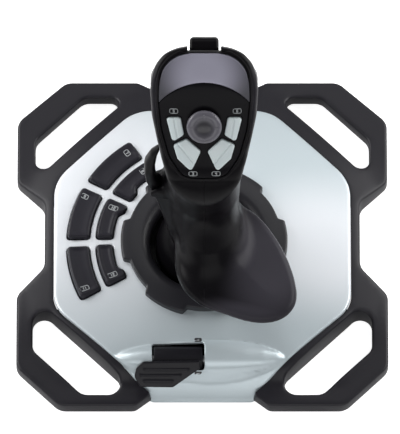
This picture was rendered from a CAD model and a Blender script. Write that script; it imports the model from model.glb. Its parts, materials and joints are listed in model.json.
"""Flight joystick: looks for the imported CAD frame. Shapes are worked in millimetres in the
frame's own axes (+Z up, +Y away from the user) and turned into metres when a mesh is made."""

import json
import math

import bmesh
import bpy
import numpy as np
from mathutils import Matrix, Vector
from mathutils.geometry import delaunay_2d_cdt


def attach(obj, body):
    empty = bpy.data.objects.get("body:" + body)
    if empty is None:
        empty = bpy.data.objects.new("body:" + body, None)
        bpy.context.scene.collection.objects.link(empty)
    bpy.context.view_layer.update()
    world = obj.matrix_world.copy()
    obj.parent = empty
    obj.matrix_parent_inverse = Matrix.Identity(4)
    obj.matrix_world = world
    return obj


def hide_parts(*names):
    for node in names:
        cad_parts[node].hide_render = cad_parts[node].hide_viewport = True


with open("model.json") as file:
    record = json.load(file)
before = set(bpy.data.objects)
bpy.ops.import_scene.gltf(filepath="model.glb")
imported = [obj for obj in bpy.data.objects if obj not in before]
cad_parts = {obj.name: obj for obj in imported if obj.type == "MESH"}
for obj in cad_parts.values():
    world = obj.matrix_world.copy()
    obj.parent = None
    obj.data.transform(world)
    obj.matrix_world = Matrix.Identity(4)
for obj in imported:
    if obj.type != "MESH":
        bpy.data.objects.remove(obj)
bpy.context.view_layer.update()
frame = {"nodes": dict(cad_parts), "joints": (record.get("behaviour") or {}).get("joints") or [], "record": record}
MM = 0.001


def joint(name):
    return next(j for j in frame["joints"] if j["name"] == name)


def pos_mm(name):
    return np.array(joint(name)["pos_m"]) / MM


# --- places, from the frame ---------------------------------------------------------
STICK_X, STICK_Y, PIVOT_Z = pos_mm("stick_roll")
THROTTLE_Y, THROTTLE_Z = pos_mm("throttle_turn")[1:]
FACE_T = np.array(joint("hat_tilt_side")["axis"])            # up the head's sloping face
FACE_N = np.cross([1.0, 0.0, 0.0], FACE_T)                   # out of it
HAT_PIVOT_DEPTH = 6.0
FACE_ORIGIN = pos_mm("hat_tilt_side") + HAT_PIVOT_DEPTH * FACE_N

# --- sizes, in millimetres ----------------------------------------------------------
PLATE_CROWN_Z, PLATE_DOME_R = 26.5, 520.0
FRAME_CROWN_Z, FRAME_DOME_R, LOOP_TOP_Z = 29.0, 330.0, 10.5
NOSE_Y, NOSE_Z, NOSE_R = -50.0, -29.0, 55.0
RING_TOP_Z, RING_R, RING_TAB_R, RING_OPENING_R = 29.5, 43.0, 46.3, 30.0
KEY_TOP_Z = {"outer": 24.6, "inner": 26.2}
DRUM_X, DRUM_R = (-27.0, 0.4), 7.4
# X and radius of the swelling round the throttle
SPINDLE = [(-50.0, 0.0), (-48.5, 1.9), (-45.0, 3.7), (-40.0, 5.4), (-34.0, 6.8), (-28.0, 7.7), (-13.0, 9.2),
           (3.0, 9.8), (14.0, 9.5), (24.0, 8.4), (34.0, 6.3), (42.0, 3.4), (46.0, 0.0)]


# --- meshes -------------------------------------------------------------------------
def mesh_piece(name, solid, material, body, replaces=(), crease=38):
    """A piece from a solid's vertices (in millimetres) and faces: shaded smooth except at creases,
    riding on a body, with the slot that its material stands for."""
    verts, faces = solid
    mesh = bpy.data.meshes.new(name)
    mesh.from_pydata((np.asarray(verts, float) * MM).tolist(), [], [list(f) for f in faces])
    mesh.validate()
    mesh.polygons.foreach_set("use_smooth", [True] * len(mesh.polygons))
    mesh.set_sharp_from_angle(angle=math.radians(crease))
    mesh.materials.append(material)
    piece = bpy.data.objects.new(name, mesh)
    bpy.context.scene.collection.objects.link(piece)
    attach(piece, body)
    if replaces:
        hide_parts(*replaces)


def rounded(points, radii, fine=0.9):
    """A closed outline through corner points, each corner turned with an arc. Corners past the
    last radius are left out."""
    if not hasattr(radii, "__len__"):
        radii = [radii] * len(points)
    points = [np.array(p, float) for p in points]
    out = []
    for i, (corner, radius) in enumerate(zip(points, radii)):
        back = points[i - 1] - corner
        on = points[(i + 1) % len(points)] - corner
        back, on = back / np.linalg.norm(back), on / np.linalg.norm(on)
        angle = math.acos(max(-1.0, min(1.0, float(back @ on))))
        if radius < 1e-6 or math.pi - angle < 1e-3:
            out.append(corner)
            continue
        bisector = (back + on) / np.linalg.norm(back + on)
        centre = corner + bisector * radius / math.sin(angle / 2)
        start = corner + back * radius / math.tan(angle / 2) - centre
        sweep = math.pi - angle
        turn = 1.0 if back[0] * on[1] - back[1] * on[0] < 0 else -1.0
        steps = max(3, int(radius * sweep / fine))
        for k in range(steps + 1):
            a = turn * sweep * k / steps
            c, s = math.cos(a), math.sin(a)
            out.append(centre + (c * start[0] - s * start[1], s * start[0] + c * start[1]))
    return np.array(out)


def resample(loop, step):
    """The same outline with its long straight edges divided."""
    out = []
    for a, b in zip(loop, np.roll(loop, -1, axis=0)):
        count = max(1, int(np.linalg.norm(b - a) / step + 0.5))
        out += [a + (b - a) * k / count for k in range(count)]
    return np.array(out)


def counter_clockwise(loop, wanted=True):
    x, y = loop.T
    area = np.sum(x * np.roll(y, -1) - np.roll(x, -1) * y)
    return loop if (area > 0) == wanted else loop[::-1]


def left_normals(loop):
    back = loop - np.roll(loop, 1, axis=0)
    on = np.roll(loop, -1, axis=0) - loop
    back /= np.linalg.norm(back, axis=1)[:, None] + 1e-12
    on /= np.linalg.norm(on, axis=1)[:, None] + 1e-12
    normals = np.stack([-(back[:, 1] + on[:, 1]), back[:, 0] + on[:, 0]], axis=1)
    normals /= np.linalg.norm(normals, axis=1)[:, None] + 1e-12
    lean = normals[:, 0] * -back[:, 1] + normals[:, 1] * back[:, 0]
    return normals / np.maximum(lean, 0.4)[:, None]


def grown(loop, by):
    """A counter-clockwise outline moved outwards."""
    return loop - left_normals(loop) * by


def within(x, y, loops):
    """Inside the first outline and outside the others."""
    holes = [inside(x, y, hole) for hole in loops[1:]]
    return inside(x, y, loops[0]) & ~np.any(holes, axis=0) if holes else inside(x, y, loops[0])


def inside(x, y, loop):
    hit = np.zeros(x.shape, bool)
    for (x1, y1), (x2, y2) in zip(loop, np.roll(loop, -1, axis=0)):
        crosses = (y1 > y) != (y2 > y)
        hit ^= crosses & (x < (x2 - x1) * (y - y1) / (y2 - y1 + 1e-12) + x1)
    return hit


def distance(x, y, loop):
    best = np.full(x.shape, 1e9)
    for (x1, y1), (x2, y2) in zip(loop, np.roll(loop, -1, axis=0)):
        dx, dy = x2 - x1, y2 - y1
        t = np.clip(((x - x1) * dx + (y - y1) * dy) / (dx * dx + dy * dy + 1e-12), 0, 1)
        best = np.minimum(best, (x - x1 - t * dx) ** 2 + (y - y1 - t * dy) ** 2)
    return np.sqrt(best)


def height(value, x, y):
    return value(x, y) if callable(value) else np.full(x.shape, float(value))


def slab(outer, holes, top, bottom, edge=1.0, hole_edge=None, foot=0.3, step=2.0, rings=5):
    """A plate with rounded top edges: its outline and holes in plan, and its top and bottom as
    heights or as functions of the plan. Returns vertices and faces."""
    hole_edge = edge if hole_edge is None else hole_edge
    edges = [edge] + [hole_edge] * len(holes) if not hasattr(hole_edge, "__len__") else [edge, *hole_edge]
    loops = [counter_clockwise(resample(outer, step))]
    loops += [counter_clockwise(resample(h, step), False) for h in holes]
    points, drops, lines, starts = [], [], [], []
    turns = np.linspace(0, math.pi / 2, rings)
    total = 0
    for k, loop in enumerate(loops):
        radius = np.full(len(loop), float(edges[k]))
        for j, other in enumerate(loops):
            if j != k:
                radius = np.minimum(radius, 0.42 * distance(loop[:, 0], loop[:, 1], other))
        for _ in range(4):
            radius = np.minimum(radius, (np.roll(radius, 1) + radius + np.roll(radius, -1)) / 3)
        normals = left_normals(loop)
        starts.append((total, len(loop)))
        for turn in turns:
            points.append(loop + normals * (radius * (1 - math.cos(turn)))[:, None])
            drops.append(radius * (1 - math.sin(turn)))
            ids = np.arange(total, total + len(loop))
            lines += list(zip(ids.tolist(), np.roll(ids, -1).tolist()))
            total += len(loop)
    low, high = loops[0].min(0), loops[0].max(0)
    gx, gy = np.meshgrid(np.arange(low[0], high[0], step), np.arange(low[1], high[1], step * 0.866))
    gx = gx + (np.arange(gx.shape[0]) % 2)[:, None] * step / 2
    gx, gy = gx.ravel(), gy.ravel()
    clear = [distance(gx, gy, loop) > rim + 0.5 * step for loop, rim in zip(loops, edges)]
    keep = within(gx, gy, loops) & np.all(clear, axis=0)
    points.append(np.stack([gx[keep], gy[keep]], axis=1))
    drops.append(np.zeros(int(keep.sum())))
    points, drops = np.concatenate(points), np.concatenate(drops)
    found = delaunay_2d_cdt([Vector(p) for p in points.tolist()], lines, [], 0, 1e-5)
    flat = np.array([v[:] for v in found[0]])
    drop = np.array([max((drops[i] for i in ids), default=0.0) for ids in found[3]])
    where = {i: n for n, ids in enumerate(found[3]) for i in ids}
    tris = np.array([f for f in found[2] if len(f) == 3])
    tris = tris[within(*flat[tris].mean(axis=1).T, loops)]
    x, y = flat.T
    z_top = height(top, x, y) - drop
    z_low = height(bottom, x, y) + drop * (foot / max(edge, 1e-6))
    verts = np.concatenate([np.stack([x, y, z_top], 1), np.stack([x, y, z_low], 1)])
    count = len(flat)
    faces = tris.tolist() + (tris[:, ::-1] + count).tolist()
    for start, size in starts:
        ring = [where[start + i] for i in range(size)]
        for a, b in zip(ring, ring[1:] + ring[:1]):
            if a != b:
                faces.append([a + count, b + count, b, a])
    return verts, faces


def lathe(profile, turns=96, hollow=False):
    """A solid of revolution about Z from (radius, height) points: capped at both ends or, when
    hollow, joined from the last point round to the first."""
    angles = [2 * math.pi * k / turns for k in range(turns)]
    verts = [(r * math.cos(a), r * math.sin(a), z) for r, z in profile for a in angles]
    faces = []
    for row in range(0, len(verts) - turns, turns):
        for k in range(turns):
            a, b = row + k, row + (k + 1) % turns
            faces.append([a, b, b + turns, a + turns])
    first, last = list(range(turns)), list(range((len(profile) - 1) * turns, len(verts)))
    if hollow:
        faces += [[last[k - 1], last[k], first[k], first[k - 1]] for k in range(turns)]
    else:
        faces += [first[::-1], last]
    return np.array(verts), faces


def to_face(solid):
    """From the head face's own axes (across, up the slope, outwards) to the frame's."""
    verts, faces = solid
    return FACE_ORIGIN + verts @ np.array([(1.0, 0.0, 0.0), FACE_T, FACE_N]), faces


def turned(u, v, degrees):
    a = math.radians(degrees)
    return u * math.cos(a) - v * math.sin(a), u * math.sin(a) + v * math.cos(a)


# --- solids from distance fields ----------------------------------------------------
def smooth_max(a, b, k):
    h = np.maximum(k - np.abs(a - b), 0.0) / k
    return np.maximum(a, b) + h * h * k * 0.25


def smooth_min(a, b, k):
    return -smooth_max(-a, -b, k)


def outline_field(loop, margin=12.0, cell=0.5):
    """Signed distance to an outline (negative inside), as a quick bilinear lookup."""
    low = loop.min(0) - margin
    size = np.ceil((loop.max(0) + margin - low) / cell).astype(int) + 1
    gx = low[0] + np.arange(size[0]) * cell
    gy = low[1] + np.arange(size[1]) * cell
    mx, my = np.meshgrid(gx, gy, indexing="ij")
    table = distance(mx, my, loop) * np.where(inside(mx, my, loop), -1.0, 1.0)

    def look(x, y):
        u = np.clip((x - low[0]) / cell, 0, size[0] - 1.001)
        v = np.clip((y - low[1]) / cell, 0, size[1] - 1.001)
        i, j = u.astype(int), v.astype(int)
        fu, fv = u - i, v - j
        near = table[i, j] * (1 - fu) + table[i + 1, j] * fu
        far = table[i, j + 1] * (1 - fu) + table[i + 1, j + 1] * fu
        beyond = np.maximum(low[0] - x, 0) + np.maximum(x - gx[-1], 0)
        beyond = beyond + np.maximum(low[1] - y, 0) + np.maximum(y - gy[-1], 0)
        return near * (1 - fv) + far * fv + beyond

    return look


def surface_net(field, low, high, step, polish=3):
    """The zero surface of field(x, y, z), in quads, with its vertices drawn onto the surface."""
    axes = [np.arange(a, b + step, step) for a, b in zip(low, high)]
    grid = np.meshgrid(*axes, indexing="ij")
    values = field(*grid)
    sign = values < 0
    shape = tuple(n - 1 for n in values.shape)
    total, count = np.zeros(shape + (3,)), np.zeros(shape)
    for axis in range(3):
        along = np.moveaxis(values, axis, 0)
        cross = (along[:-1] < 0) != (along[1:] < 0)
        t = np.where(cross, along[:-1] / np.where(cross, along[:-1] - along[1:], 1.0), 0.0)
        sums, hits = np.moveaxis(total, axis, 0), np.moveaxis(count, axis, 0)
        first, second = [n for n in range(3) if n != axis]
        for da, db in ((0, 0), (0, 1), (1, 0), (1, 1)):
            view = slice(None), slice(da, da + hits.shape[1]), slice(db, db + hits.shape[2])
            hits += cross[view]
            sums[..., axis] += t[view]
            sums[..., first] += cross[view] * da
            sums[..., second] += cross[view] * db
    active = count > 0
    index = np.full(shape, -1, np.int64)
    index[active] = np.arange(int(active.sum()))
    cells = np.argwhere(active)
    verts = np.array(low) + (cells + total[active] / count[active][:, None]) * step
    faces = []
    for axis in range(3):
        a, b = [slice(1, -1)] * 3, [slice(1, -1)] * 3
        a[axis], b[axis] = slice(0, -1), slice(1, None)
        sa, sb = sign[tuple(a)], sign[tuple(b)]
        where = np.argwhere(sa != sb)
        outward = sa[tuple(where.T)]
        one, other = np.roll(np.eye(3, dtype=int), -axis - 1, axis=0)[:2]
        corners = [where, where + one, where + one + other, where + other]
        quads = np.stack([index[tuple(corner.T)] for corner in corners], axis=1)
        quads[~outward] = quads[~outward][:, ::-1]
        faces.append(quads)
    faces = np.concatenate(faces)
    faces = faces[(faces >= 0).all(axis=1)]
    delta = 0.08 * step
    for _ in range(polish):
        x, y, z = verts.T
        value = field(x, y, z)
        slope = np.stack([field(x + delta, y, z) - value, field(x, y + delta, z) - value,
                          field(x, y, z + delta) - value], axis=1) / delta
        length = (slope ** 2).sum(axis=1) + 0.05
        shift = -(value / length)[:, None] * slope
        reach = np.linalg.norm(shift, axis=1) + 1e-9
        verts = verts + shift * np.minimum(1.0, 0.4 * step / reach)[:, None]
    return verts, faces


# --- materials ----------------------------------------------------------------------
def fill(tree, node, inputs):
    """Gives each of a node's inputs its constant, or its link from another node's output."""
    for key, value in inputs.items():
        if isinstance(value, bpy.types.NodeSocket):
            tree.links.new(value, node.inputs[key])
        else:
            node.inputs[key].default_value = value


def add(tree, kind, inputs=None, **settings):
    node = tree.nodes.new(f"ShaderNode{kind}")
    for key, value in settings.items():
        setattr(node, key, value)
    fill(tree, node, inputs or {})
    return node


def mixed(tree, amount, tone, colour):
    """A tone with some of a plain colour mixed in."""
    mix = add(tree, "Mix", {"Factor": amount, "A": tone, "B": [*colour, 1.0]}, data_type="RGBA")
    return mix.outputs["Result"]


def ramp(tree, value, start, end, low, high, **settings):
    """A value brought from one range to another."""
    limits = {"From Min": start, "From Max": end, "To Min": low, "To Max": high}
    return add(tree, "MapRange", {"Value": value, **limits}, **settings).outputs["Result"]


def around(tree, position, areas):
    """How far each place is into any of the areas: each has a centre and a reach, in millimetres,
    and a strength."""
    amount = None
    for centre, reach, strength in areas:
        middle = [c * MM for c in centre]
        shrink = [1.0 / (r * MM) if r else 0.0 for r in reach]
        away = add(tree, "VectorMath", {0: position, 1: middle}, operation="SUBTRACT")
        scaled = add(tree, "VectorMath", {0: away.outputs["Vector"], 1: shrink}, operation="MULTIPLY")
        length = add(tree, "VectorMath", {0: scaled.outputs["Vector"]}, operation="LENGTH")
        fade = ramp(tree, length.outputs["Value"], 0.35, 1.4, strength, 0.0, interpolation_type="SMOOTHSTEP")
        larger = amount and add(tree, "Math", {0: amount, 1: fade}, operation="MAXIMUM")
        amount = larger.outputs["Value"] if larger else fade
    return amount


CLOUD_SCALE, WEAR_SCALE = 38.0, 160.0
COAT_ROUGHNESS, GRAIN_DEPTH = 0.12, 0.00006
WORN_GREY = (0.3, 0.3, 0.31)


def plastic(name, colour, roughness, grain=0.0, grain_scale=2600.0, spread=0.08, tint=0.12, metallic=0.0,
            coat=0.0, flake=0.0, wear=0.0, specular=0.5, pale_areas=(), pale_to=None):
    """Moulded plastic, paint or metal: mottled colour and gloss, a fine grain in the surface, edges
    rubbed paler where wear is given, and areas that fade into another colour."""
    mat = bpy.data.materials.new(name)
    mat.use_nodes = True
    tree = mat.node_tree
    place = add(tree, "TexCoord").outputs["Object"]
    cloud = add(tree, "TexNoise", {"Vector": place, "Scale": CLOUD_SCALE, "Detail": 4.0}).outputs["Fac"]
    fine = add(tree, "TexNoise", {"Vector": place, "Scale": grain_scale, "Detail": 2.0}).outputs["Fac"]
    dark = [c * (1 - tint) for c in colour] + [1.0]
    tone = mixed(tree, cloud, dark, [min(1.0, c * (1 + tint)) for c in colour])
    if pale_areas:
        tone = mixed(tree, around(tree, place, pale_areas), tone, pale_to)
    if flake:
        sparkle = ramp(tree, fine, 0.55, 0.75, 0.0, flake)
        tone = mixed(tree, sparkle, tone, [min(1.0, c * 1.35 + 0.05) for c in colour])
    if wear:
        pointed = add(tree, "NewGeometry").outputs["Pointiness"]
        patch = add(tree, "TexNoise", {"Vector": place, "Scale": WEAR_SCALE}).outputs["Fac"]
        rim = ramp(tree, pointed, 0.56, 0.68, 0.0, wear)
        rubbed = add(tree, "Math", {0: rim, 1: patch}, operation="MULTIPLY").outputs["Value"]
        tone = mixed(tree, rubbed, tone, WORN_GREY)
    gloss = ramp(tree, cloud, 0.0, 1.0, max(0.03, roughness - spread), roughness + spread)
    bump = add(tree, "Bump", {"Height": fine, "Strength": grain, "Distance": GRAIN_DEPTH})
    fill(tree, tree.nodes["Principled BSDF"], {
        "Base Color": tone, "Roughness": gloss, "Normal": bump.outputs["Normal"], "Metallic": metallic,
        "Coat Weight": coat, "Coat Roughness": COAT_ROUGHNESS, "Specular IOR Level": specular})
    return mat


FRAME_BLACK = plastic("frame_black", (0.0135, 0.0125, 0.0165), 0.40, grain=0.2, wear=0.12, specular=0.3)
PLATE_SILVER = plastic(
    "plate_silver", (0.575, 0.65, 0.68), 0.36, grain=0.05, grain_scale=5200.0, spread=0.03, tint=0.02,
    metallic=0.4, flake=0.2, pale_to=(0.87, 0.895, 0.93),
    pale_areas=(((-62, 22, 0), (72, 78, 0), 1.0), ((68, -8, 0), (50, 40, 0), 0.88)))
GRIP_BLACK = plastic(
    "grip_black", (0.0045, 0.004, 0.005), 0.30, grain=0.10, grain_scale=3200.0, spread=0.04, specular=0.09,
    pale_to=(0.046, 0.043, 0.053),
    pale_areas=(((37, -40, 62), (24, 38, 13), 1.0), ((24, -70, 60), (30, 9, 10), 0.8),
                ((-28, 8, 176), (5, 24, 26), 0.45), ((30, 8, 176), (5, 24, 26), 0.45)))
RING_BLACK = plastic("ring_black", (0.016, 0.0155, 0.019), 0.34, grain=0.12, specular=0.35)
SKIRT_BLACK = plastic("skirt_black", (0.003, 0.0027, 0.0035), 0.30, grain=0.05, specular=0.05)
PANEL_BLACK = plastic("panel_gloss", (0.006, 0.0055, 0.007), 0.26, grain=0.03, spread=0.03, specular=0.08)
VISOR_GREY = plastic(
    "visor_grey", (0.060, 0.059, 0.071), 0.36, grain=0.05, spread=0.04, tint=0.05, metallic=0.15,
    specular=0.3, pale_to=(0.37, 0.36, 0.44), pale_areas=(((1, 0, 198), (21, 0, 9.5), 1.0),))
BUTTON_SILVER = plastic(
    "button_silver", (0.66, 0.74, 0.75), 0.26, grain=0.04, tint=0.04, spread=0.03, coat=0.3)
HAT_GREY = plastic(
    "hat_grey", (0.115, 0.11, 0.13), 0.28, grain=0.1, spread=0.05, pale_to=(0.012, 0.011, 0.015),
    pale_areas=((tuple(FACE_ORIGIN + 4.0 * FACE_N), (5.2, 5.2, 5.2), 0.9),))
KEY_BLACK = plastic(
    "key_black", (0.016, 0.015, 0.021), 0.42, grain=0.15, spread=0.04, wear=0.08, specular=0.25)
THROTTLE_BLACK = plastic("throttle_black", (0.0095, 0.009, 0.012), 0.34, grain=0.12, specular=0.25)
LABEL_GREY = plastic("label_grey", (0.42, 0.44, 0.45), 0.5, grain=0.05)
LABEL_BLACK = plastic("label_black", (0.02, 0.02, 0.022), 0.5, grain=0.05)
DARK_STEEL = plastic(
    "blackened_steel", (0.012, 0.012, 0.014), 0.45, grain=0.2, grain_scale=900.0, specular=0.2)

NODE_MATERIALS = {
    "frame_black": FRAME_BLACK, "plate_silver": PLATE_SILVER, "grip_black": GRIP_BLACK,
    "skirt_black": SKIRT_BLACK, "panel_gloss": PANEL_BLACK, "visor_grey": VISOR_GREY,
    "button_silver": BUTTON_SILVER, "hat_black": HAT_GREY, "key_black": KEY_BLACK,
    "throttle_black": THROTTLE_BLACK,
    "rubber": plastic("rubber_black", (0.02, 0.02, 0.02), 0.78, grain=0.5, grain_scale=1500.0),
    "cover_black": plastic("cover_black", (0.022, 0.022, 0.024), 0.5, grain=0.4, grain_scale=1500.0),
    "steel": plastic("zinc_steel", (0.52, 0.52, 0.54), 0.32, grain=0.2, grain_scale=900.0, metallic=1.0),
    "brass": plastic("turned_brass", (0.72, 0.52, 0.22), 0.28, grain=0.15, metallic=1.0),
    "board_green": plastic("board_green", (0.02, 0.13, 0.05), 0.32, grain=0.2, grain_scale=700.0, coat=0.4),
    "sensor_dark": plastic("sensor_dark", (0.03, 0.03, 0.035), 0.42, grain=0.2),
}


def dress_cad_nodes():
    for part in frame["record"]["subparts"]:
        material = DARK_STEEL if part["node"] == "thumb_pin" else NODE_MATERIALS[part["material_slot"]]
        mesh = frame["nodes"][part["node"]].data
        mesh.materials.clear()
        mesh.materials.append(material)


# --- base ---------------------------------------------------------------------------
def symmetric(right, radii):
    """An outline from the corners of its right half, counter-clockwise from the front."""
    return rounded(right + [(-x, y) for x, y in reversed(right)], radii + radii[::-1])


PLATE_OUTLINE = symmetric([(28.0, -94.7), (82.3, -43.9), (82.3, 35.0), (38.0, 79.0)], [4, 20, 24, 22])
FRAME_OUTLINE = symmetric(
    [(28, -93.6), (37, -101), (79, -101), (103, -77), (103, -33), (87.5, -18), (87.5, 23), (103, 38),
     (103, 76), (76, 101), (36, 101), (27, 96)], [4, 5, 9, 9, 7, 8, 8, 7, 9, 9, 5, 6])


def loop_hole(side_x, side_y):
    if side_y > 0:
        corners, radii = [(40.5, 91.3), (66.0, 91.3), (92.9, 64.4), (92.9, 38.9)], [4.5, 8, 8, 5]
    else:
        corners, radii = [(35.5, 94.0), (66.5, 94.0), (94.0, 66.5), (94.0, 35.5)], [7, 8, 8, 6.5]
    return rounded([(side_x * x, side_y * y) for x, y in corners], radii)


def dome_z(x, y, crown, radius):
    out = (x - STICK_X) ** 2 + (y - STICK_Y) ** 2
    return crown - radius + np.sqrt(radius ** 2 - out)


def front_z(y, radius):
    """Height of the front roll: rising behind NOSE_Y, falling away in front of it."""
    ahead = np.minimum(y - NOSE_Y, 0.0)
    return NOSE_Z + np.sqrt(np.maximum(radius ** 2 - ahead ** 2, 1.0)) + np.clip(y - NOSE_Y, 0, 30)


def plate_z(x, y):
    return smooth_min(dome_z(x, y, PLATE_CROWN_Z, PLATE_DOME_R), front_z(y, NOSE_R), 3.0)


def frame_z(x, y):
    body = smooth_min(dome_z(x, y, FRAME_CROWN_Z, FRAME_DOME_R), front_z(y, NOSE_R - 0.6), 3.0)
    return smooth_max(body, np.full(x.shape, LOOP_TOP_Z), 2.5)


def make_base_frame():
    """The black frame: the corner loops and the rim that the silver plate sits in, lowered in
    front so that it stays hidden under the plate's nose."""
    holes = [loop_hole(sx, sy) for sy in (1, -1) for sx in (1, -1)]
    well = grown(PLATE_OUTLINE, 0.3)
    well[:, 1] = np.maximum(well[:, 1], -92.6)

    def top(x, y):
        under_nose = np.clip((-y - 90.0) / 2.0, 0, 1) * np.clip((29.5 - np.abs(x)) / 1.5, 0, 1)
        return np.maximum(frame_z(x, y) - 9.0 * under_nose, 3.4)

    solid = slab(FRAME_OUTLINE, [well, *holes], top, 2.0, edge=1.5, hole_edge=[0.5, 1.5, 1.5, 1.5, 1.5],
                 foot=0.8, step=2.2)
    mesh_piece("base_frame_shell", solid, FRAME_BLACK, "base", ["base_frame"])


def polar(radius, degrees):
    a = math.radians(degrees)
    return (STICK_X + radius * math.cos(a), STICK_Y + radius * math.sin(a))


def arc(radius, start, end, count):
    return [polar(radius, start + (end - start) * k / count) for k in range(count + 1)]


def circle(radius):
    return np.array([polar(radius, 3 * k) for k in range(120)])


# degrees round the stick where each pair of keys starts, where it ends, and where its inner key steps in
KEY_SPANS = ((122.8, 148.0, 140.0), (152.4, 177.2, 159.0), (181.6, 206.6, 200.0))
KEY_ROWS = {"outer": (63.8, 76.0), "inner": (50.8, 59.8)}         # inner and outer radius
KEY_FLARE_R = 48.0


def key_outline(row, start, end, step, grow=0.0):
    """A base key in plan. An inner key steps in towards the ring beside the ring's tab."""
    inner, outer = KEY_ROWS[row]
    slack = math.degrees(grow / outer)
    a, b = start - slack, end + slack
    far = arc(outer + grow, a, b, 8)
    if row == "outer":
        near, turns = arc(inner - grow, b, a, 8), [0] * 7
    else:
        wide, narrow = KEY_FLARE_R - grow, inner - grow
        high, low = (wide, narrow) if step - start > (end - start) / 2 else (narrow, wide)
        shift = slack if high == wide else -slack
        near = arc(high, b, step + 1.7 - shift, 3) + arc(low, step - 1.7 - shift, a, 3)
        turns = [0, 0, 2.2, 2.2, 0, 0]
    return rounded(far + near, [2.0] + [0] * 7 + [2.0, 2.0] + turns + [2.0], 0.5)


def key_list():
    number = 7
    for start, end, step in KEY_SPANS:
        yield number, "outer", start, end, step
        yield number + 1, "inner", start, end, step
        number += 2


def spindle_profile(x):
    """Radius of the throttle swelling along its axis."""
    xs, rs = np.array(SPINDLE).T
    fine = np.linspace(xs[0], xs[-1], 400)
    smooth = np.interp(fine, xs, rs)
    for _ in range(40):
        smooth[1:-1] = (smooth[:-2] + 2 * smooth[1:-1] + smooth[2:]) / 4
    return np.interp(x, fine, smooth)


def spindle_z(x, y):
    radius = spindle_profile(x)
    across = y - THROTTLE_Y
    rise = np.sqrt(np.maximum(radius ** 2 - across ** 2, 0.0))
    return THROTTLE_Z + rise - 7.0 * np.maximum(np.abs(across) - radius, 0.0)


def silver_z(x, y):
    """The plate's top: its own dome and roll, with the swelling round the throttle blended in,
    softly on the right and behind, with a firmer edge on the left."""
    soft = 2.5 + 3.5 * np.clip((x + 20.0) / 24.0, 0, 1)
    swell = spindle_z(x, y)
    under_paddle = THROTTLE_Z + 9.77 + 0.727 * (y - THROTTLE_Y)
    swell = np.where((x < 1.4) & (y < THROTTLE_Y), np.minimum(swell, under_paddle), swell)
    return smooth_max(plate_z(x, y), swell, soft)


SLOT = [(-27.8, -84.3), (-27.8, -68.6), (1.2, -68.6), (1.2, -84.3)]


def make_top_plate():
    holes = [circle(RING_R - 2.5), rounded(SLOT, [0.6, 1.2, 1.6, 1.6])]
    holes += [key_outline(row, start, end, step, 0.5) for _, row, start, end, step in key_list()]

    def underside(x, y):
        return silver_z(x, y) - 2.4 - 6.0 * np.clip((-92.4 - y) / 1.2, 0, 1)

    verts, faces = slab(PLATE_OUTLINE, holes, silver_z, underside, edge=1.1, hole_edge=0.5, foot=0.2,
                        step=1.3)
    verts[:, 2] = np.maximum(verts[:, 2], 1.3)
    mesh_piece("top_plate_shell", (verts, faces), PLATE_SILVER, "base", ["top_plate"])


def key_top(row):
    """The top of a row's keys: flat, with a shallow trough along the row."""
    middle = 69.9 if row == "outer" else 55.0

    def value(x, y):
        away = np.hypot(x - STICK_X, y - STICK_Y) - middle
        return KEY_TOP_Z[row] - 0.7 * np.exp(-(away / 3.4) ** 2)

    return value


def make_keys():
    for number, row, start, end, step in key_list():
        loop = key_outline(row, start, end, step)
        dish, flat = key_top(row), KEY_TOP_Z[row]

        def crowned(x, y):
            rim = np.clip((distance(x, y, loop) - 1.2) / 1.8, 0, 1)
            return flat + (dish(x, y) - flat) * rim * rim * (3 - 2 * rim)

        solid = slab(loop, [], crowned, 16.4, edge=1.5, foot=0.2, step=0.8, rings=6)
        node = f"base_key_{number}"
        mesh_piece(f"{node}_cap", solid, KEY_BLACK, node, [node])


# --- printed marks ------------------------------------------------------------------
DIGITS = {
    "0": [[(0, 0), (1, 0), (1, 2), (0, 2), (0, 0)]],
    "1": [[(0.5, 0), (0.5, 2)]],
    "2": [[(0, 2), (1, 2), (1, 1), (0, 1), (0, 0), (1, 0)]],
    "3": [[(0, 2), (1, 2), (1, 0), (0, 0)], [(0.2, 1), (1, 1)]],
    "4": [[(0, 2), (0, 1), (1, 1)], [(1, 2), (1, 0)]],
    "5": [[(1, 2), (0, 2), (0, 1), (1, 1), (1, 0), (0, 0)]],
    "6": [[(1, 2), (0, 2), (0, 0), (1, 0), (1, 1), (0, 1)]],
    "7": [[(0, 2), (1, 2), (0.5, 0)]],
    "8": [[(0, 0), (1, 0), (1, 2), (0, 2), (0, 0)], [(0, 1), (1, 1)]],
    "9": [[(1, 1), (0, 1), (0, 2), (1, 2), (1, 0), (0, 0)]],
    "+": [[(0, 1), (1, 1)], [(0.5, 0.4), (0.5, 1.6)]],
    "-": [[(0, 1), (1, 1)]],
}


LABEL_STROKE = 0.36


def strokes(lines, width, surface, thick=0.09):
    """Printed lines: narrow raised bars that follow a surface given as a height function."""
    verts, faces = [], []
    for line in lines:
        for (x1, y1), (x2, y2) in zip(line, line[1:]):
            length = math.hypot(x2 - x1, y2 - y1)
            ux, uy = (x2 - x1) / length, (y2 - y1) / length
            count = max(1, int(length / 0.8))
            start = len(verts)
            for k in range(count + 1):
                reach = -0.45 * width + (length + 0.9 * width) * k / count
                for side in (-0.5, 0.5):
                    x = x1 + ux * reach - uy * side * width
                    y = y1 + uy * reach + ux * side * width
                    z = float(surface(np.array([x]), np.array([y]))[0])
                    verts += [(x, y, z + thick), (x, y, z - 0.2)]
            for k in range(count):
                a = start + 4 * k
                faces += [[a, a + 4, a + 6, a + 2], [a + 1, a + 3, a + 7, a + 5], [a, a + 1, a + 5, a + 4],
                          [a + 2, a + 6, a + 7, a + 3]]
            a, b = start, start + 4 * count
            faces += [[a, a + 2, a + 3, a + 1], [b, b + 1, b + 3, b + 2]]
    return np.array(verts), faces


def rectangle(wide, tall):
    return [(-wide / 2, -tall / 2), (wide / 2, -tall / 2), (wide / 2, tall / 2), (-wide / 2, tall / 2)]


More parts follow.
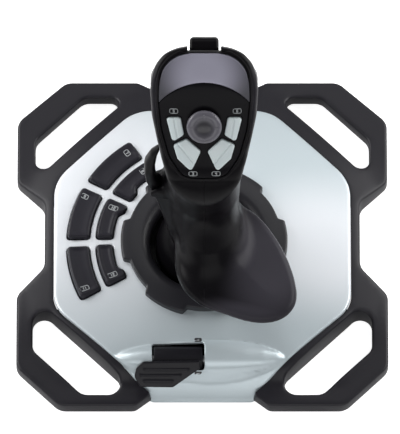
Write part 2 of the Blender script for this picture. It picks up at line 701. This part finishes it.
def label_lines(text, centre, along, box, digit_height):
    """A rounded box outline with digits in it, centred on a point and turned to a direction."""
    box_line = rounded(rectangle(*box), 0.32 * box[1], 0.25).tolist()
    lines = [[*box_line, box_line[0]]]
    unit = digit_height / 2
    advance = 1.75 * unit
    left = -(advance * (len(text) - 1) + unit) / 2
    for k, letter in enumerate(text):
        for line in DIGITS[letter]:
            lines.append([(left + k * advance + unit * x, unit * (y - 1)) for x, y in line])
    ux, uy = along
    return [[(centre[0] + ux * x - uy * y, centre[1] + uy * x + ux * y) for x, y in line] for line in lines]


# radius, angle and width of the box on each key
KEY_LABELS = {7: (70.7, 127.3, 3.6), 8: (55.7, 127.8, 3.4), 9: (72.3, 156.4, 3.8), 10: (54.6, 157.4, 5.2),
              11: (72.0, 203.2, 5.0), 12: (54.8, 202.2, 5.2)}


def make_key_labels():
    for number, (radius, angle, wide) in KEY_LABELS.items():
        a = math.radians(angle)
        towards_stick = (-math.cos(a), -math.sin(a))
        lines = label_lines(str(number), polar(radius, angle), towards_stick, (wide, 2.7), 1.4)
        solid = strokes(lines, LABEL_STROKE, key_top("outer" if number % 2 else "inner"))
        mesh_piece(f"key_{number}_print", solid, LABEL_GREY, f"base_key_{number}")


def ring_outline():
    points = []
    for middle in range(0, 360, 60):
        points += [polar(RING_R, middle - 17.5), polar(RING_TAB_R, middle - 15.0)]
        points += arc(RING_TAB_R, middle - 10, middle + 10, 6)
        points += [polar(RING_TAB_R, middle + 15.0), polar(RING_R, middle + 17.5)]
        points += arc(RING_R, middle + 20, middle + 40, 6)
    return rounded(points, ([1.2, 1.6] + [0] * 7 + [1.6, 1.2] + [0] * 7) * 6, 0.6)


def ring_z(x, y):
    r = np.hypot(x - STICK_X, y - STICK_Y)
    crest = RING_TOP_Z - 0.012 * np.maximum(r - 37.0, 0.0) ** 2
    return crest - 0.16 * np.maximum(35.5 - r, 0.0) ** 2 / 1.6


def make_collar():
    solid = slab(ring_outline(), [circle(RING_OPENING_R)], ring_z, 20.0, edge=0.9, foot=0.1, step=1.3)
    mesh_piece("collar_ring_cap", solid, RING_BLACK, "base", ["collar_ring"])


def make_skirt():
    """A hollow part-sphere about the stick's pivot, with a short neck."""
    def sphere(radius, start, end, count):
        angles = np.radians(np.linspace(start, end, count))
        return [(radius * math.sin(a), radius * math.cos(a)) for a in angles]

    neck = [(17.3, 21.4), (17.0, 22.4), (17.0, 28.6), (16.6, 29.0), (15.0, 29.0), (15.0, 22.0)]
    verts, faces = lathe(sphere(27.0, 95, 41, 24) + neck + sphere(25.0, 38, 95, 16), hollow=True)
    verts += (STICK_X, STICK_Y, PIVOT_Z)
    mesh_piece("dome_skirt_ball", (verts, faces), SKIRT_BLACK, "pitch_core", ["dome_skirt"])


# --- grip ---------------------------------------------------------------------------
HEAD_SIDE = rounded(
    [(-22, 90), (-31.5, 120), (-37.5, 143), (-44, 157.5), (0.5, 208.5), (14, 209.5), (19.8, 204.8),
     (25.2, 198.3), (28, 165), (21, 139), (14, 90)], [4, 30, 20, 9, 5, 3, 4, 5, 20, 20, 4])
# across and up the face; one radius short, so that its two lowest left corners, inside the column, drop out
HEAD_FRONT = symmetric(
    [(6.0, -96), (10.5, -68), (13.6, -50), (16.2, -37), (19.2, -27), (24.2, -13), (27.6, 4), (28.4, 18),
     (27.7, 26), (25.4, 32.6), (21.2, 38.0), (15, 42.2), (8, 45.2)],
    [2, 40, 30, 30, 40, 30, 30, 20, 14, 14, 14, 10])
COVER_OUTLINE = symmetric(
    [(7, -32), (12, -30), (19, -19), (23.2, -3), (24.9, 14), (24.6, 22.5), (22.7, 30.2), (18.7, 34.8),
     (14.2, 37.4), (7.5, 38.9)], [3, 6, 20, 40, 40, 20, 12, 10, 10, 10])
VISOR_ARC_R, VISOR_ARC_T = 32.2, -8.5


def face_z(x, t):
    """The head's face: flat below, curving over towards the top, and a little crowned."""
    over = np.maximum(t - 11.0, 0.0)
    chin = np.maximum(-24.0 - t, 0.0)
    return -0.0093 * over ** 2 - 0.02 * chin ** 2 - x ** 2 / 420.0


def face_axes(x, y, z):
    dx, dy, dz = x - FACE_ORIGIN[0], y - FACE_ORIGIN[1], z - FACE_ORIGIN[2]
    return dx, dy * FACE_T[1] + dz * FACE_T[2], dy * FACE_N[1] + dz * FACE_N[2]


# height, middle x, middle y, half x, half y
COLUMN = np.array([
    (46, 2.2, -7.0, 17.8, 19.0), (60, 1.8, -8.0, 17.9, 20.5), (74, 1.0, -8.0, 17.6, 21.5),
    (88, 0.7, -7.5, 17.7, 22.0), (100, 0.9, -7.2, 17.6, 23.0), (120, 1.0, -7.6, 17.0, 26.8),
    (138, 1.0, -7.3, 16.8, 30.4), (156, 1.0, -7.0, 17.0, 32.5),
])
# the same for the column's foot, spreading forwards into the hand rest
KEEL = np.array([
    (58.0, 6.5, -31.5, 19.0, 27.5), (66.0, 5.2, -27.0, 17.6, 25.6), (78.0, 3.2, -19.5, 16.6, 22.4),
    (92.0, 1.9, -12.5, 15.6, 20.5), (108.0, 1.2, -8.0, 12.0, 16.0),
])


def pillar(x, y, z, table, low, high):
    """A solid with an ellipse at every height, read from a table."""
    row = [np.interp(z, table[:, 0], table[:, k]) for k in range(1, 5)]
    u, v = (x - row[0]) / row[2], (y - row[1]) / row[3]
    side = (np.sqrt(u * u + v * v + 1e-9) - 1.0) * np.minimum(row[2], row[3])
    return smooth_max(side, np.maximum(low - z, z - high), 2.0)


REST_RIM = [(-13.5, -30), (-13.8, -40), (-12, -49), (-8, -55.5), (-1.3, -62), (7, -67), (15.3, -70.8),
            (23.6, -73.8), (32, -75.3), (40.3, -74.4), (47.5, -70.4), (51.8, -63.5), (52.4, -56.5),
            (50.8, -46.9), (47.5, -36.3), (43, -26.4), (37.5, -17.2), (33, -11), (28, -6), (23, -3.3),
            (14, -2), (2, -4), (-8, -8), (-12.5, -18)]


def soft_loop(points):
    loop = resample(np.array(points, float), 1.0)
    for _ in range(12):
        loop = (np.roll(loop, 1, axis=0) + 2 * loop + np.roll(loop, -1, axis=0)) / 4
    return counter_clockwise(loop)


rim_field = outline_field(soft_loop(REST_RIM))


def rest_field(x, y, z):
    """The hand rest: a rounded shelf inside its rim, rising gently towards the column."""
    rim = rim_field(x, y)
    top = 62.6 + 0.10 * np.clip(-rim, 0, 30)
    shelf = smooth_max(rim, (z - top) * 0.98, 4.5)
    return smooth_max(shelf, 58.2 - z, 1.6)


side_field, front_field = outline_field(HEAD_SIDE), outline_field(HEAD_FRONT)


def head_field(x, y, z):
    across, up, out = face_axes(x, y, z)
    back = np.clip(-out - 6.0, 0.0, 24.0)
    up = up + 0.36 * back * np.clip((up + 2.0) / 22.0, 0.0, 1.0)
    soft = np.interp(up, [-42.0, -18.0], [14.0, 6.0])
    return smooth_max(side_field(y, z), front_field(across, up) - 0.18 * soft, soft)


def face_cut(x, y, z):
    """Everything in front of the head's face, fading out down the column."""
    across, up, out = face_axes(x, y, z)
    return (out - face_z(across, up)) * 0.95 - 0.5 * np.maximum(150.0 - z, 0.0)


# the thumb lever, and the root it is hinged in, seen from in front
FIN_PROFILE = rounded(
    [(-23.7, 147.0), (-28.4, 141.0), (-31.7, 131.5), (-32.0, 122.0), (-30.9, 111.0), (-28.4, 101.8),
     (-21.0, 101.2), (-20.7, 103.5), (-24.0, 109.0), (-25.7, 118.0), (-25.9, 128.0), (-24.8, 138.0),
     (-23.2, 144.6)], [0.7, 6, 14, 14, 12, 0.8, 0.8, 1.2, 5, 12, 12, 6, 0.7])
ROOT_PROFILE = rounded(
    [(-28.2, 101.5), (-25.0, 90.0), (-22.0, 78.0), (-18.4, 62.0), (-15.0, 53.0), (0, 53.0), (0, 116.0),
     (-16.8, 114.5), (-19.6, 109.6), (-21.6, 106.6), (-23.0, 104.0)], [0.8, 15, 30, 15, 3, 1, 1, 4, 3, 3, 1])
FIN_PIN_X, _, FIN_PIN_Z = pos_mm("thumb_lever_press")
FIN_REAR_Y, FIN_CLEARANCE, PRESS_DEGREES = -8.0, 0.5, 2.2
TRIGGER_HALF, TRIGGER_POCKET_HALF, TRIGGER_POCKET_Y, TRIGGER_POCKET_Z = 8.0, 9.1, 14.9, 149.5
COLUMN_FOOT_Z = 49.6
fin_outline_field, root_outline_field = outline_field(FIN_PROFILE), outline_field(ROOT_PROFILE)


def fin_field(x, y, z):
    depth = np.interp(z, [100, 124, 147], [8.0, 8.0, 5.4])
    return smooth_max(fin_outline_field(x, z), np.abs(y - FIN_REAR_Y + depth / 2) - depth / 2, 3.0)


def fin_swept(x, y, z):
    """The thumb lever at rest and pressed a little past its end."""
    turn = 1.1 * math.radians(PRESS_DEGREES)
    dx, dz = x - FIN_PIN_X, z - FIN_PIN_Z
    pressed = fin_field(FIN_PIN_X + dx * math.cos(turn) - dz * math.sin(turn), y,
                        FIN_PIN_Z + dx * math.sin(turn) + dz * math.cos(turn))
    return np.minimum(fin_field(x, y, z), pressed)


def grip_field(x, y, z):
    """Column, head, and the root that the thumb lever is hinged in, with a pocket for the trigger."""
    body = smooth_min(pillar(x, y, z, COLUMN, COLUMN_FOOT_Z, 152.0), head_field(x, y, z), 14.0)
    body = smooth_max(body, face_cut(x, y, z), 4.0)
    thick = np.interp(z, [62.0, 84.0, 101.0], [8.5, 6.6, 5.0])
    root = smooth_max(root_outline_field(x, z), np.abs(y + 12.0) - thick, 4.0)
    body = smooth_min(body, root, 9.0)
    for y_low, y_high, size in ((-19.0, -16.5, 2.5), (-7.5, -5.4, 1.6)):
        lug = np.hypot(x - FIN_PIN_X, z - FIN_PIN_Z) - size
        lug = smooth_min(lug, smooth_max(fin_outline_field(x, z) + 0.4, z - FIN_PIN_Z + 2.5 - size, 1.0), 2.0)
        body = smooth_min(body, smooth_max(lug, np.maximum(y - y_high, y_low - y), 1.4), 4.0)
    body = smooth_max(body, COLUMN_FOOT_Z - z, 1.0)
    body = smooth_max(body, FIN_CLEARANCE - fin_swept(x, y, z), 0.4)
    pocket = np.maximum(TRIGGER_POCKET_Y - y, TRIGGER_POCKET_Z - z)
    pocket = np.maximum(pocket, np.abs(x - STICK_X) - TRIGGER_POCKET_HALF)
    return smooth_max(body, -pocket, 0.8)


COVER_POCKET_GROW, COVER_POCKET_DEPTH, SPLIT_GAP = 1.15, 3.2, 0.06
cover_field = outline_field(COVER_OUTLINE)


def shell_field(x, y, z):
    """The whole grip with its hand rest, and a pocket for the cover in the head's face."""
    foot = smooth_min(rest_field(x, y, z), pillar(x, y, z, KEEL, 58.4, 110.0), 9.0)
    whole = smooth_min(grip_field(x, y, z), foot, 6.0)
    across, up, out = face_axes(x, y, z)
    pocket = np.maximum(cover_field(across, up) - COVER_POCKET_GROW,
                        face_z(across, up) - COVER_POCKET_DEPTH - out)
    return smooth_max(whole, -pocket, 0.4)


def cut_half(verts, faces, keep_right):
    """One side of a mesh cut at the grip's middle plane, and capped."""
    mesh = bmesh.new()
    rows = [mesh.verts.new(v) for v in verts.tolist()]
    for f in faces:
        mesh.faces.new([rows[i] for i in f])
    side = 1.0 if keep_right else -1.0
    cut = bmesh.ops.bisect_plane(mesh, geom=mesh.verts[:] + mesh.edges[:] + mesh.faces[:],
                                 plane_co=(STICK_X + side * SPLIT_GAP, 0, 0), plane_no=(side, 0, 0),
                                 clear_inner=True)
    rim = [e for e in cut["geom_cut"] if isinstance(e, bmesh.types.BMEdge)]
    bmesh.ops.holes_fill(mesh, edges=rim, sides=0)
    mesh.verts.index_update()
    out = np.array([v.co[:] for v in mesh.verts])
    polys = [[v.index for v in f.verts] for f in mesh.faces]
    mesh.free()
    return out, polys


def make_grip():
    step = 1.0
    verts, faces = surface_net(shell_field, (-34, -82, 47), (60, 36, 210), step)
    for name, right in (("grip_left_shell", False), ("grip_right_shell", True)):
        nodes = [name, "hand_rest"] if right else [name]
        mesh_piece(f"{name}_moulding", cut_half(verts, faces, right), GRIP_BLACK, "grip", nodes, crease=50)


def make_fin():
    step = 0.9
    solid = surface_net(fin_field, (-35, -19, 98), (-17, -5, 150), step)
    mesh_piece("thumb_lever_blade", solid, GRIP_BLACK, "thumb_lever", ["thumb_lever"], crease=60)


UPPER_BUTTON = [(-20.7, 3.9), (-12.9, 4.1), (-11.0, -5.8), (-17.3, -10.0)]
LOWER_BUTTON = [(-16.8, -12.2), (-9.7, -8.3), (-1.8, -15.8), (-7.2, -27.4), (-14.6, -20.2)]
BUTTONS = {"head_button_5": (UPPER_BUTTON, 1), "head_button_6": (UPPER_BUTTON, -1),
           "head_button_3": (LOWER_BUTTON, 1), "head_button_4": (LOWER_BUTTON, -1)}


def button_loop(points, side):
    return counter_clockwise(rounded([(side * x, t) for x, t in points], 1.4, 0.35))


COVER_THICK, LIP_THICK, VISOR_GAP, HAT_STEM_R = 2.6, 2.9, 0.15, 6.2


def make_cover():
    """The black panel below the arc and the grey visor above it."""
    dense = resample(COVER_OUTLINE, 0.7)
    on_disc = np.hypot(dense[:, 0], dense[:, 1] - VISOR_ARC_T) < VISOR_ARC_R
    start = int(np.argmax(on_disc & ~np.roll(on_disc, 1)))
    dense, on_disc = np.roll(dense, -start, axis=0), np.roll(on_disc, -start)

    def closed_by_arc(edge, gap):
        xs = np.linspace(edge[-1][0], edge[0][0], 60)[1:-1]
        arc_t = VISOR_ARC_T + gap + np.sqrt(np.maximum(VISOR_ARC_R ** 2 - xs ** 2, 0))
        return np.concatenate([edge, np.stack([xs, arc_t], axis=1)])

    turns = np.linspace(0, 2 * math.pi, 49)[:-1]
    holes = [grown(button_loop(points, side), 0.3) for points, side in BUTTONS.values()]
    holes.append(np.array([(HAT_STEM_R * math.cos(a), HAT_STEM_R * math.sin(a)) for a in turns]))
    for name, material, outline, openings, proud, edge in (
            ("panel", PANEL_BLACK, closed_by_arc(dense[on_disc], 0.0), holes, 0.0, 0.45),
            ("visor", VISOR_GREY, closed_by_arc(dense[~on_disc], VISOR_GAP), [], 0.05, 0.5)):
        solid = slab(outline, openings, lambda x, t: face_z(x, t) + proud,
                     lambda x, t: face_z(x, t) - COVER_THICK, edge=edge, hole_edge=0.35, foot=0.1, step=1.4)
        mesh_piece(f"head_{name}_cover", to_face(solid), material, "grip", [f"head_{name}"])


def make_bezel():
    """The thin lip the cover sits in, thinner still beside the trigger."""
    loop = COVER_OUTLINE
    by_trigger = np.clip((11.5 - np.abs(loop[:, 0])) / 2.4, 0, 1) * (loop[:, 1] > 20)
    outer = grown(loop, (2.1 - 1.5 * by_trigger)[:, None])
    solid = slab(outer, [grown(loop, 0.4)], lambda x, t: face_z(x, t) + 0.12,
                 lambda x, t: face_z(x, t) - LIP_THICK, edge=0.6, hole_edge=0.4, foot=0.1, step=1.2)
    mesh_piece("head_bezel_lip", to_face(solid), GRIP_BLACK, "grip", ["head_bezel"])


def make_buttons():
    """The head's four buttons, each with two slopes that meet at a fine groove."""
    for node, (points, side) in BUTTONS.items():
        loop = button_loop(points, side)
        mid = np.mean([(side * x, t) for x, t in points], axis=0)
        lean = math.radians(-9 if points is UPPER_BUTTON else -37) * -side

        def ridged(x, t):
            across = (x - mid[0]) * math.cos(lean) + (t - mid[1]) * math.sin(lean)
            fold = np.sqrt(across ** 2 + 0.06)
            groove = np.exp(-((across / 0.5) ** 2))
            return face_z(x, t) + 2.0 - 0.2 * fold - 0.55 * groove

        solid = slab(loop, [], ridged, -4.2, edge=0.7, foot=0.1, step=0.4)
        mesh_piece(f"{node}_cap", to_face(solid), BUTTON_SILVER, node, [node])


def make_hat():
    """A low dished cap with four small pips on its rim."""
    rim = [(2.4, -6.6), (2.4, 2.4), (8.6, 2.3), (9.2, 2.5), (9.6, 3.1), (9.55, 3.9), (9.1, 4.7)]
    crown = [(8.2, 5.35), (7.2, 5.7), (6.3, 5.75), (5.5, 5.5), (4.7, 5.0), (3.6, 4.5), (2.2, 4.2),
             (0.01, 4.1)]
    mesh_piece("hat_cap_dome", to_face(lathe(rim + crown, 72)), HAT_GREY, "hat", ["hat_cap"])
    for k in range(4):
        pip = rounded(rectangle(1.0, 2.4), 0.45, 0.2)
        verts, faces = slab(pip, [], 6.0, 5.2, edge=0.25, foot=0.02, step=0.4)
        verts[:, 0], verts[:, 1] = turned(verts[:, 0], verts[:, 1] + 7.0, 90 * k)
        mesh_piece(f"hat_pip_{k + 1}", to_face((verts, faces)), HAT_GREY, "hat")


def make_head_labels():
    for number, place in (("5", (-16.6, 7.7)), ("6", (18.0, 7.7)), ("3", (-6.1, -29.2)), ("4", (6.5, -29.2))):
        lines = label_lines(number, place, (1.0, 0.0), (4.4, 2.6), 1.3)
        solid = strokes(lines, LABEL_STROKE, face_z)
        mesh_piece(f"head_button_{number}_print", to_face(solid), LABEL_GREY, "grip")


# from the side: away from the user, and up
TRIGGER_PROFILE = rounded(
    [(22.6, 188.6), (19.0, 193.0), (22.4, 197.0), (28.2, 198.2), (31.6, 194.8), (33.4, 183.6),
     (32.0, 172.0), (32.8, 160.0), (36.0, 151.0), (33.0, 149.5), (28.6, 159.0), (28.2, 172.0),
     (28.8, 183.0)], [2, 2, 2.5, 3, 5, 12, 14, 10, 1.4, 1.4, 8, 14, 3])
TRIGGER_CORNER_R = 2.2


def make_trigger():
    side_view = outline_field(TRIGGER_PROFILE, 6.0, 0.25)

    def field(x, y, z):
        a = side_view(y, z) + TRIGGER_CORNER_R
        b = np.abs(x - STICK_X) - TRIGGER_HALF + TRIGGER_CORNER_R
        outside = np.hypot(np.maximum(a, 0), np.maximum(b, 0))
        return outside + np.minimum(np.maximum(a, b), 0) - TRIGGER_CORNER_R

    step = 0.6
    solid = surface_net(field, (STICK_X - 10, 16, 147), (STICK_X + 10, 39, 201), step)
    mesh_piece("trigger_lever", solid, GRIP_BLACK, "trigger", ["trigger"], crease=60)


# --- throttle -----------------------------------------------------------------------
PADDLE_OUTLINE = rounded(
    [(-1.2, 1.2), (-32.6, 0.6), (-36.4, -2.6), (-37.6, -7.6), (-34.6, -13.5), (-16.2, -13.8),
     (-6.8, -7.1), (-1.2, -3.2)], [0.6, 2, 3, 3.5, 2.5, 3, 3, 0.6], 0.4)
PADDLE_RIBS = ((3.75, -32.3, -7.4), (6.9, -34.3, -11.8), (10.2, -32.3, -16.2))    # down, left end, right end
PADDLE_WEB = [(-26.4, -3.0), (-1.2, -3.0), (-1.2, 0.6), (-26.4, 0.6)]
PADDLE_LEAN = 36.0


def make_throttle():
    low, high = DRUM_X
    profile = [(2.5, low), (DRUM_R - 0.7, low), (DRUM_R, low + 0.7),
               (DRUM_R, high - 0.7), (DRUM_R - 0.7, high), (2.5, high)]
    verts, faces = lathe(profile)
    verts = verts[:, [2, 0, 1]] + (0, THROTTLE_Y, THROTTLE_Z)
    mesh_piece("throttle_drum_barrel", (verts, faces), THROTTLE_BLACK, "throttle", ["throttle_drum"])

    def ribbed(x, y):
        rise = np.zeros(x.shape)
        for down, left, right in PADDLE_RIBS:
            ends = np.clip((x - left + 0.6) / 1.2, 0, 1) * np.clip((right + 0.6 - x) / 1.2, 0, 1)
            rise = np.maximum(rise, np.exp(-(((y + down) / 0.62) ** 4)) * ends)
        return 10.9 + 0.55 * rise

    verts, faces = slab(PADDLE_OUTLINE, [], ribbed, 8.4, edge=0.8, foot=0.4, step=0.5)
    web, web_faces = slab(np.array(PADDLE_WEB), [], 8.6, 4.6, edge=0.2, step=1.5)
    faces = faces + [[i + len(verts) for i in f] for f in web_faces]
    verts = np.concatenate([verts, web])
    verts[:, 1], verts[:, 2] = turned(verts[:, 1], verts[:, 2], PADDLE_LEAN)
    verts += (0, THROTTLE_Y, THROTTLE_Z)
    mesh_piece("throttle_paddle", (verts, faces), THROTTLE_BLACK, "throttle", ["throttle_lever"])


def make_throttle_marks():
    """A plus behind the throttle and a minus in front of it, in small dark boxes."""
    x, proud = -2.3, 0.1
    for name, sign, y, tall in (("plus", "+", -66.9, 2.8), ("minus", "-", -85.7, 1.1)):
        patch = rounded(rectangle(4.0, tall), 0.25 * tall, 0.25) + (x, y)
        solid = slab(patch, [], lambda u, v: silver_z(u, v) + proud, lambda u, v: silver_z(u, v) - 0.3,
                     edge=0.08, foot=0.02, step=0.6)
        mesh_piece(f"throttle_{name}_patch", solid, LABEL_BLACK, "base")
        lines = [[(x + 1.5 * (px - 0.5), y + 0.8 * (py - 1)) for px, py in line] for line in DIGITS[sign]]
        solid = strokes(lines, 0.32, lambda u, v: silver_z(u, v) + 0.08)
        mesh_piece(f"throttle_{name}_print", solid, LABEL_GREY, "base")


# --- stage, in metres and watts -----------------------------------------------------
FLOOR_SIZE, FLOOR_Z, FLOOR_WHITE, FLOOR_GLOW, FLOOR_GLOW_SEEN = 6.0, -0.0002, 0.93, 0.12, 0.85
WORLD_COLOUR, WORLD_STRENGTH = (0.95, 0.97, 1.0, 1), 0.22
LAMPS = (("left_panel", (-0.62, 0.26, 0.38), 0.75, 0.42, 5.4),
         ("right_panel", (0.62, 0.26, 0.38), 0.75, 0.42, 4.8),
         ("front_panel", (0.0, -1.1, 0.75), 1.7, 0.7, 5.4),
         ("rear_panel", (0.1, 0.75, 1.1), 0.7, 0.5, 1.5))          # name, place, width, height, power
LAMP_AIM = Vector((0, 0, 0.05))
CAMERA_ELEVATION, CAMERA_AIM = math.radians(62.6), Vector((-0.00127, 0.0, 0.04163))
CAMERA_AWAY, VIEW_WIDTH, SENSOR_WIDTH_MM = 8.0, 0.2215, 36.0


def facing(aim, place):
    return (aim - place).to_track_quat("-Z", "Y").to_euler()


def make_stage():
    bpy.ops.mesh.primitive_plane_add(size=FLOOR_SIZE, location=(0, 0, FLOOR_Z))
    floor = bpy.context.object
    floor.name = "floor"
    mat = bpy.data.materials.new("floor_white")
    mat.use_nodes = True
    tree = mat.node_tree
    seen = add(tree, "LightPath").outputs["Is Camera Ray"]
    fill(tree, tree.nodes["Principled BSDF"], {
        "Base Color": (FLOOR_WHITE, FLOOR_WHITE, FLOOR_WHITE, 1), "Roughness": 0.9,
        "Emission Color": (1, 1, 1, 1),
        "Emission Strength": ramp(tree, seen, 0.0, 1.0, FLOOR_GLOW, FLOOR_GLOW_SEEN)})
    floor.data.materials.append(mat)
    world = bpy.data.worlds.new("studio")
    world.use_nodes = True
    tree = world.node_tree
    fill(tree, tree.nodes["Background"], {"Color": WORLD_COLOUR, "Strength": WORLD_STRENGTH})
    bpy.context.scene.world = world
    for name, place, wide, tall, power in LAMPS:
        light = bpy.data.lights.new(name, "AREA")
        light.shape = "RECTANGLE"
        light.size, light.size_y, light.energy = wide, tall, power
        lamp = bpy.data.objects.new(name, light)
        lamp.location = place
        lamp.rotation_euler = facing(LAMP_AIM, lamp.location)
        bpy.context.scene.collection.objects.link(lamp)


def make_camera():
    """A long lens, straight in front of the object and looking down at it."""
    data = bpy.data.cameras.new("camera")
    data.sensor_fit = "HORIZONTAL"
    data.sensor_width = SENSOR_WIDTH_MM
    data.lens = SENSOR_WIDTH_MM * CAMERA_AWAY / VIEW_WIDTH
    data.clip_end = 50.0
    camera = bpy.data.objects.new("camera", data)
    away = Vector((0, -math.cos(CAMERA_ELEVATION), math.sin(CAMERA_ELEVATION)))
    camera.location = CAMERA_AIM + CAMERA_AWAY * away
    camera.rotation_euler = facing(CAMERA_AIM, camera.location)
    bpy.context.scene.collection.objects.link(camera)
    bpy.context.scene.camera = camera
    bpy.context.scene.view_settings.view_transform = "Standard"


make_camera()
make_stage()
dress_cad_nodes()
make_base_frame()
make_top_plate()
make_keys()
make_collar()
make_skirt()
make_grip()
make_fin()
make_cover()
make_bezel()
make_buttons()
make_hat()
make_head_labels()
make_key_labels()
make_trigger()
make_throttle()
make_throttle_marks()
